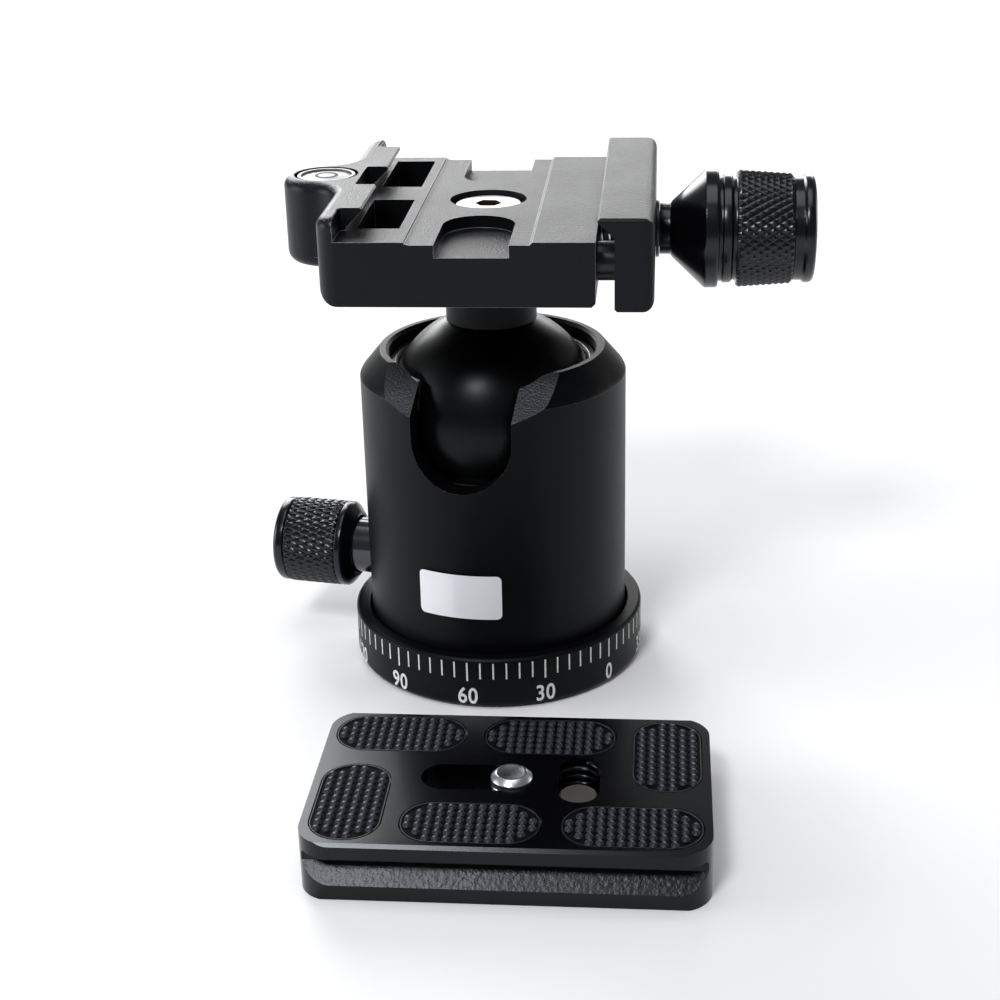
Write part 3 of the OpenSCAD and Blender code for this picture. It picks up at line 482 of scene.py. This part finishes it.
lock_height = 0.0172
lock_axis = (Matrix.Rotation(head_turn, 4, "Z") @ Matrix.Translation((0.0, 0.0, lock_height))
             @ Matrix.Rotation(math.radians(-90.0), 4, "Y"))
gloss_black = anodised("gloss_black_anodised", (0.0015, 0.0017, 0.0024), 0.22, 4000.0, 0.000004, 0.42, 0.04)
lock_recess, spindle_hole, lock_core = 5.4, 3.0, 7.45
lock_start, recess_end, lock_grip_at, lock_grip_end = 26.3, 30.7, 29.0, 38.9
lock_grip = turned("lock_knob", [
    (lock_recess, lock_start), (5.9, lock_start), (7.2, 27.25), (lock_core, 27.45), (7.8, 27.9), (7.8, 28.8),
    (7.6, lock_grip_at), (lock_core, lock_grip_at), (lock_core, 38.85), (7.6, lock_grip_end),
    (spindle_hole, lock_grip_end), (spindle_hole, recess_end), (lock_recess, recess_end),
    (lock_recess, lock_start)], lock_axis, "ball_lock", gloss_black)
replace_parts(lock_grip, "lock_knob")
knurled("lock_knob_knurl", lock_grip_at + 0.05, lock_grip_end - 0.1, 7.5, 7.5, 42, 3.25, 0.30, 0.34,
        lock_axis, "ball_lock", gloss_black)
lock_cap_at, lock_cap_end = 38.93, 41.0
lock_end = turned("lock_knob_cap", [
    (0.0, lock_cap_at), (7.6, lock_cap_at), (7.72, 39.1), (7.72, 40.1), (7.6, 40.4), (7.3, 40.75),
    (6.9, 40.92), (6.4, lock_cap_end), (0.0, lock_cap_end)], lock_axis, "ball_lock", gloss_black)
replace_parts(lock_end, "lock_knob_cap")
machined("lock_spindle", "ball_lock", bright_steel, 0.0001, 1)
polished_black = anodised("polished_black", (0.012, 0.012, 0.013), 0.14, 3000.0, 0.000002, 0.9, 0.03)
machined("lock_sleeve", "housing", polished_black, 0.00015)

# ---- Wedge, lift plate and cup ----
# What the ball lock works on: a steel wedge under an alloy plate, which lifts
# the acetal cup against the ball.
machined("lock_wedge", "wedge", bright_steel, 0.0002)
machined("lift_plate", "lift", plain_alloy, 0.0002)
machined("ball_cup", "cup", dark_acetal, 0.0001)

# ---- Pan lock ----
# The small knob at the back that stops the panning, its steel spindle and the
# brass shoe that it presses on the post.
machined("pan_knob", "pan_lock", gloss_black, 0.00015)
machined("pan_spindle", "pan_lock", bright_steel, 0.00008, 1)
machined("pan_shoe", "pan_brake", turned_brass, 0.0001, 1)

# ---- Ball ----
# An aluminium ball, turned, bored from above for the spigot of the stem and
# hard anodised matte black.
ball_coat = anodised("ball_hard_anodised", (0.0008, 0.0008, 0.001), 0.31, 5000.0, 0.00001, 0.20, 0.03)
machined("ball", "ball", ball_coat, 0.0, 1, 40.0)

# ---- Stem and clamp body ----
# The turned stem, and the block bolted on it: milled aluminium, bead blasted
# on top and anodised dark grey, with its left jaw in one piece. The jaw's rim
# is rounded over, its two ends with it.
machined("stem", "clamp", satin_black, 0.0002)
clamp_grey = (0.0045, 0.0048, 0.0062)
clamp_coat = anodised("blasted_grey_anodised", clamp_grey, 0.36, 2600.0, 0.00015, 0.18, 0.05)
clamp_side = anodised("satin_grey_anodised", clamp_grey, 0.36, 2900.0, 0.00004, 0.18, 0.05)
level_x, level_y, level_hole = -27.5, 1.2, 6.0
jaw_end, jaw_top = (round(1000.0 * length, 3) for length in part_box("clamp_body")[1].yz)
jaw_wall, jaw_wall_end, lip_from = -21.4, 29.95, 22.6


def upright(one, other):
    """An edge that runs straight up."""
    return (one - other).xy.length < 0.01


def jaw_rim(one, other):
    """The outer rim of the fixed jaw's top, with its two ends, but not the hole for the level."""
    middle = (one + other) / 2.0
    round_level = (middle.xy - Vector((level_x, level_y))).length < level_hole
    outside = middle.x < jaw_wall - 1.5 or abs(middle.y) > jaw_end - 0.7
    return min(one.z, other.z) > jaw_top - 0.05 and outside and not round_level


def lip_corner(one, other):
    """The upright corners of the fixed jaw's lips."""
    return upright(one, other) and jaw_wall - 0.2 < one.x < -15.0 and max(one.z, other.z) > jaw_top - 1.2


def jaw_inside(one, other):
    """The inner edge of the fixed jaw's top, from the lips over both rounded ends."""
    return (max(abs(one.x - jaw_wall), abs(other.x - jaw_wall)) < 0.05
            and min(one.z, other.z) > jaw_top - 1.9 and min(abs(one.y), abs(other.y)) > lip_from - 0.1)


def jaw_corner(point):
    """The fixed jaw's ends with their top square to the inner wall, before the rim is rounded."""
    if abs(point.x - jaw_wall + 0.2) < 0.3 and point.z > jaw_top - 0.5 and abs(point.y) > lip_from - 0.6:
        at_lip = abs(point.y) < lip_from + 0.4
        return Vector((jaw_wall, point.y if at_lip else math.copysign(jaw_wall_end, point.y), jaw_top))
    return point


rim_round, lip_round, inside_round = 0.0017, 0.0006, 0.0005
block = machined("clamp_body", "clamp", clamp_coat, 0.00020, 3, 24.0,
                 ((rim_round, jaw_rim), (lip_round, lip_corner), (inside_round, jaw_inside)), jaw_corner)
# Its broken edges are painted nearly white: a painted highlight along them.
edged(block, anodised("painted_clamp_edge_highlight", (0.70, 0.71, 0.74), 0.30, 3000.0, 0.000005, 1.0, 0.05))
refinished(block, clamp_side, lambda face: abs(face.normal.z) < 0.5)

# The bolt that holds the block on the stem: steel, white zinc plated, with a
# worn six-sided socket.
white_zinc = bare_metal("white_zinc", (0.95, 0.95, 0.95), 0.36, 1500.0)
worn_socket = bare_metal("worn_socket", (0.10, 0.055, 0.035), 0.5, 2500.0)
socket_reach, bolt_top = 0.0023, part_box("stem_bolt")[1].z
bolt = machined("stem_bolt", "clamp", white_zinc, 0.0001)
refinished(bolt, worn_socket,
           lambda face: face.center.xy.length < socket_reach and face.center.z < bolt_top - 0.00015)

# ---- Bubble level ----
# A silver case pressed into the swell of the clamp, with a clear lens over
# pale liquid and a ring for the bubble.
case_metal = bare_metal("level_silver", (0.24, 0.245, 0.25), 0.36)
machined("level_case", "clamp", case_metal, 0.00012)
level_face = moulded("level_face", (0.36, 0.365, 0.37), 0.30, 0.25)
machined("level_lens", "clamp", level_face, 0.0)
level_place = Matrix.Translation((0.001 * level_x, 0.001 * level_y, 0.0))
ink = moulded("black_ink", (0.004, 0.004, 0.004), 0.5, 0.1)
turned("level_ring", [(1.5, 86.8), (1.5, 87.0), (1.98, 86.99), (1.98, 86.8), (1.5, 86.8)],
       level_place, "clamp", ink, 0.0)

# ---- Moving jaw ----
# The jaw on the right, milled and blasted like the block, on two steel pins.
# Its back edges are rounded over.
jaw_back_x = round(1000.0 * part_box("moving_jaw")[1].x, 3)


def jaw_back(one, other):
    """The outer edges of the moving jaw, away from the clamp."""
    return min(one.x, other.x) > jaw_back_x - 0.1 and (abs(one.y - other.y) > 1.0 or upright(one, other))


def jaw_ends(one, other):
    """The top edges of both ends of the moving jaw."""
    return min(abs(one.y), abs(other.y)) > jaw_end - 0.1 and min(one.z, other.z) > jaw_top - 0.3


back_round, end_round = 0.0016, 0.0006
jaw = machined("moving_jaw", "jaw", clamp_coat, 0.00024, 3, 24.0,
               ((back_round, jaw_back), (end_round, jaw_ends)))
refinished(jaw, clamp_side, lambda face: abs(face.normal.z) < 0.5)
machined("guide_pins", "jaw", black_steel, 0.0001)

# The spring that opens the jaw is two coils round the screw, one seated in the
# block and one in the jaw, whose turns run between each other as the jaw closes.
clamp_height = 0.078
clamp_axis = Matrix.Translation((0.0, 0.0, clamp_height)) @ Matrix.Rotation(math.radians(90.0), 4, "Y")
coil_radius, wire_radius, coil_pitch, coil_steps = 0.0035, 0.00038, 0.0025, 36
halves = []
for name, body, start, rounds in (
        ("jaw_spring", "clamp", 0.01473, 2.7), ("jaw_spring_end", "jaw", 0.01848, 2.2)):
    coil = bmesh.new()
    wire = bmesh.ops.create_circle(coil, segments=10, radius=wire_radius,
                                   matrix=Matrix.Translation((coil_radius, 0.0, start))
                                   @ Matrix.Rotation(math.radians(90.0), 4, "X"))
    loop = list({edge for vert in wire["verts"] for edge in vert.link_edges})
    bmesh.ops.spin(coil, geom=wire["verts"] + loop, cent=(0.0, 0.0, 0.0), axis=(0.0, 0.0, 1.0),
                   dvec=(0.0, 0.0, coil_pitch / coil_steps), angle=2.0 * math.pi * rounds,
                   steps=round(coil_steps * rounds))
    bmesh.ops.holes_fill(coil, edges=[edge for edge in coil.edges if edge.is_boundary])
    bmesh.ops.recalc_face_normals(coil, faces=coil.faces)
    for face in coil.faces:
        face.smooth = True
    halves.append(finished(coil, name, clamp_axis, body, bright_steel))
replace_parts(halves[0], "jaw_spring")
machined("clamp_washer", "jaw", black_steel, 0.0001)

# ---- Clamp knob ----
# The big knob: a turned cone, a collar and a knurled grip, black anodised, with
# a cap on its end, on its steel screw.
knob_bore, knob_start, knob_end = 2.5, 28.65, 50.6
clamp_grip = turned("clamp_knob", [
    (knob_bore, knob_start), (4.2, knob_start), (4.2, 30.45), (4.6, 30.65), (9.3, 35.6), (9.75, 36.1),
    (9.79, 36.3), (9.79, 37.95), (9.6, 38.3), (8.7, 38.4), (8.7, 39.0), (8.9, 39.05), (8.95, 39.2),
    (8.95, 40.3), (8.7, 40.6), (8.5, 40.65), (8.5, 41.35), (9.2, 41.4), (9.1, 41.6), (8.5, 50.5),
    (8.3, knob_end), (knob_bore, knob_end), (knob_bore, knob_start)],
    clamp_axis, "clamp_lock", gloss_black)
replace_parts(clamp_grip, "clamp_knob")
knurled("clamp_knob_knurl", 41.4, knob_end - 0.05, 9.32, 8.68, 46, 2.05, 0.46, 0.38,
        clamp_axis, "clamp_lock", gloss_black)
knob_cap_at, knob_cap_end = 50.62, 54.0
clamp_end = turned("clamp_knob_cap", [
    (0.0, knob_cap_at), (8.5, knob_cap_at), (8.5, 52.0), (8.6, 52.2), (8.85, 52.45), (8.9, 52.8), (8.9, 53.3),
    (8.75, 53.7), (8.4, 54.0), (8.0, 54.1), (7.2, 54.12), (7.0, knob_cap_end), (0.0, knob_cap_end)],
    clamp_axis, "clamp_lock", gloss_black)
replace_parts(clamp_end, "clamp_knob_cap")
machined("clamp_screw", "clamp_lock", black_steel, 0.0001)

# ---- Quick release plate ----
# The plate that goes under the camera: milled aluminium, black anodised and
# smooth on top, with the two flanks of its dovetail left rough.
plate_coat = anodised("plate_black_anodised", (0.0010, 0.0011, 0.0016), 0.20, 3000.0, 0.000003, 0.30, 0.03)
flank_coat = anodised("rough_flank", (0.004, 0.0042, 0.005), 0.30, 1400.0, 0.00007, 0.30, 0.06)
flank_rise, flank_top, flank_area = math.sin(math.radians(45.0)), 0.006, 0.00001
plate = machined("plate_body", "plate", plate_coat, 0.0003, 4, 24.0)
refinished(plate, flank_coat, lambda face: (abs(face.normal.z - flank_rise) < 0.02
                                            and face.area > flank_area and face.center.z < flank_top))
plate_low, plate_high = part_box("plate_body")
plate_middle = Vector(((plate_low.x + plate_high.x) / 2.0, (plate_low.y + plate_high.y) / 2.0, 0.0))
plug_grey = bare_metal("plug_grey", (0.16, 0.155, 0.14), 0.5, 1200.0)
machined("hole_plug", "plate", plug_grey, 0.0001)


def thread(name, radius, height, start, rounds, place, body, finish):
    """The thread of a quarter inch screw: a small triangle swept up a helix about +Z, in metres;
    height < 0 points inwards."""
    pitch, turn_steps = 0.00127, 40
    reach = 0.42 * pitch
    ridge = bmesh.new()
    corner = [ridge.verts.new(point) for point in (
        (radius, 0.0, start - reach), (radius + height, 0.0, start), (radius, 0.0, start + reach))]
    flanks = [ridge.edges.new((corner[n], corner[(n + 1) % 3])) for n in range(3)]
    bmesh.ops.spin(ridge, geom=corner + flanks, cent=(0.0, 0.0, 0.0), axis=(0.0, 0.0, 1.0),
                   dvec=(0.0, 0.0, pitch / turn_steps), angle=2.0 * math.pi * rounds,
                   steps=round(rounds * turn_steps))
    bmesh.ops.holes_fill(ridge, edges=[edge for edge in ridge.edges if edge.is_boundary])
    bmesh.ops.recalc_face_normals(ridge, faces=ridge.faces)
    for face in ridge.faces:
        face.smooth = True
    return finished(ridge, name, place, body, finish, 0.00004, 1, 40.0)


hole_from_middle = Vector((0.0102, 0.00315, 0.0))
hole_place = Matrix.Translation(plate_middle + hole_from_middle)
thread("hole_thread", 0.00318, -0.00045, 0.0010, 6.2, hole_place, "plate", plate_coat)

# ---- Camera screw ----
# The quarter inch screw for the camera, turned from steel and nickel plated,
# with a wide flat head that a retaining ring keeps in the plate.
machined("screw_retainer", "screw_carriage", bright_steel, 0.0, 1)
nickel = bare_metal("nickel_plate", (0.60, 0.62, 0.66), 0.30, 600.0)
screw_place = Matrix.Translation(plate_middle)
head_low, head_top, head_radius, shank_radius, screw_radius = 0.4, 3.2, 6.6, 2.75, 3.17
screw = turned("camera_screw", [
    (0.0, head_low), (head_radius - 0.4, head_low), (head_radius, head_low + 0.4), (head_radius, head_top),
    (shank_radius, head_top), (shank_radius, 8.6), (screw_radius, 9.0), (screw_radius, 9.9), (2.45, 10.6),
    (2.25, 10.7), (1.95, 10.66), (1.6, 10.52), (0.0, 10.46)],
    screw_place, "camera_screw", nickel, 0.00006)
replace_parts(screw, "camera_screw")
thread("screw_thread", 0.00272, 0.00045, 0.0040, 3.9, screw_place, "camera_screw", nickel)

# ---- Pads ----
# Six rubber pads, oblongs with round ends, moulded with a thin lip and rows of
# small blocks inside it, and glued into the plate.
rubber = moulded("navy_rubber", (0.014, 0.017, 0.027), 0.42, 0.30)
# A much darker copy of the rubber for the sunken floor between the blocks: painted shade.
painted_shade_rubber = moulded("navy_rubber_in_shadow", (0.0015, 0.0018, 0.003), 0.7, 0.05)
pad_top, pad_skirt, end_radius, half_straight, half_side = 0.00962, 0.5, 4.9, 5.3, 0.3
lip_width, lip_slope, sunk = 0.14, 0.06, 0.16
block_foot, block_head, block_height, block_middle, block_reach = 0.46, 0.27, 0.42, 0.03, 4.25


def pad(name, x, y, turn):
    """A pad: an oblong with a thin lip round it, and rows of soft blocks raised inside the lip."""
    shape = bmesh.new()
    bmesh.ops.create_circle(shape, cap_ends=True, segments=48, radius=end_radius,
                            matrix=Matrix.Rotation(math.radians(3.75), 4, "Z"))
    for vert in shape.verts:
        vert.co.x += math.copysign(half_straight, vert.co.x)
        vert.co.y += math.copysign(half_side, vert.co.y)
    bmesh.ops.recalc_face_normals(shape, faces=shape.faces)
    if shape.faces[:][0].normal.z < 0.0:
        bmesh.ops.reverse_faces(shape, faces=shape.faces)
    skirt = bmesh.ops.extrude_edge_only(shape, edges=[edge for edge in shape.edges if edge.is_boundary])
    hem = [part for part in skirt["geom"] if isinstance(part, bmesh.types.BMVert)]
    bmesh.ops.translate(shape, verts=hem, vec=(0.0, 0.0, -pad_skirt))
    floor = max(shape.faces, key=lambda face: face.calc_area())
    bmesh.ops.inset_region(shape, faces=[floor], thickness=lip_width, depth=0.0)
    bmesh.ops.inset_region(shape, faces=[floor], thickness=lip_slope, depth=-sunk)
    # The sunken floor takes the dark copy of the rubber: painted shade between the blocks.
    floor.material_index = 1
    columns, column_pitch, rows, row_pitch = (12, 1.64, 6, 1.58) if turn else (13, 1.52, 6, 1.67)
    for count in range(columns * rows):
        across = (count % columns - (columns - 1) / 2.0) * column_pitch
        up = (count // columns - (rows - 1) / 2.0) * row_pitch
        if math.hypot(max(abs(across) - half_straight, 0.0), max(abs(up) - half_side, 0.0)) < block_reach:
            bmesh.ops.create_cone(shape, cap_ends=True, segments=8, radius1=block_foot, radius2=block_head,
                                  depth=block_height, matrix=Matrix.Translation((across, up, block_middle))
                                  @ Matrix.Diagonal((column_pitch, row_pitch, 1.0, 1.0))
                                  @ Matrix.Rotation(math.radians(22.5), 4, "Z"))
    for face in shape.faces:
        face.smooth = True
    bmesh.ops.scale(shape, verts=shape.verts, vec=(0.001, 0.001, 0.001))
    place = (Matrix.Translation(plate_middle + Vector((0.001 * x, 0.001 * y, pad_top)))
             @ Matrix.Rotation(math.radians(turn), 4, "Z"))
    piece = finished(shape, name, place, "plate", rubber, 0.0, 1, 65.0)
    piece.data.materials.append(painted_shade_rubber)
    return piece


pad_places = ((-18.4, 12.4, 0.0), (5.1, 12.4, 0.0), (23.4, 7.4, 90.0),
              (18.4, -12.4, 0.0), (-5.1, -12.4, 0.0), (-23.4, -7.4, 90.0))
for number, (x, y, turn) in enumerate(pad_places, start=1):
    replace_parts(pad(f"plate_pad_{number}", x, y, turn), "plate_pads")
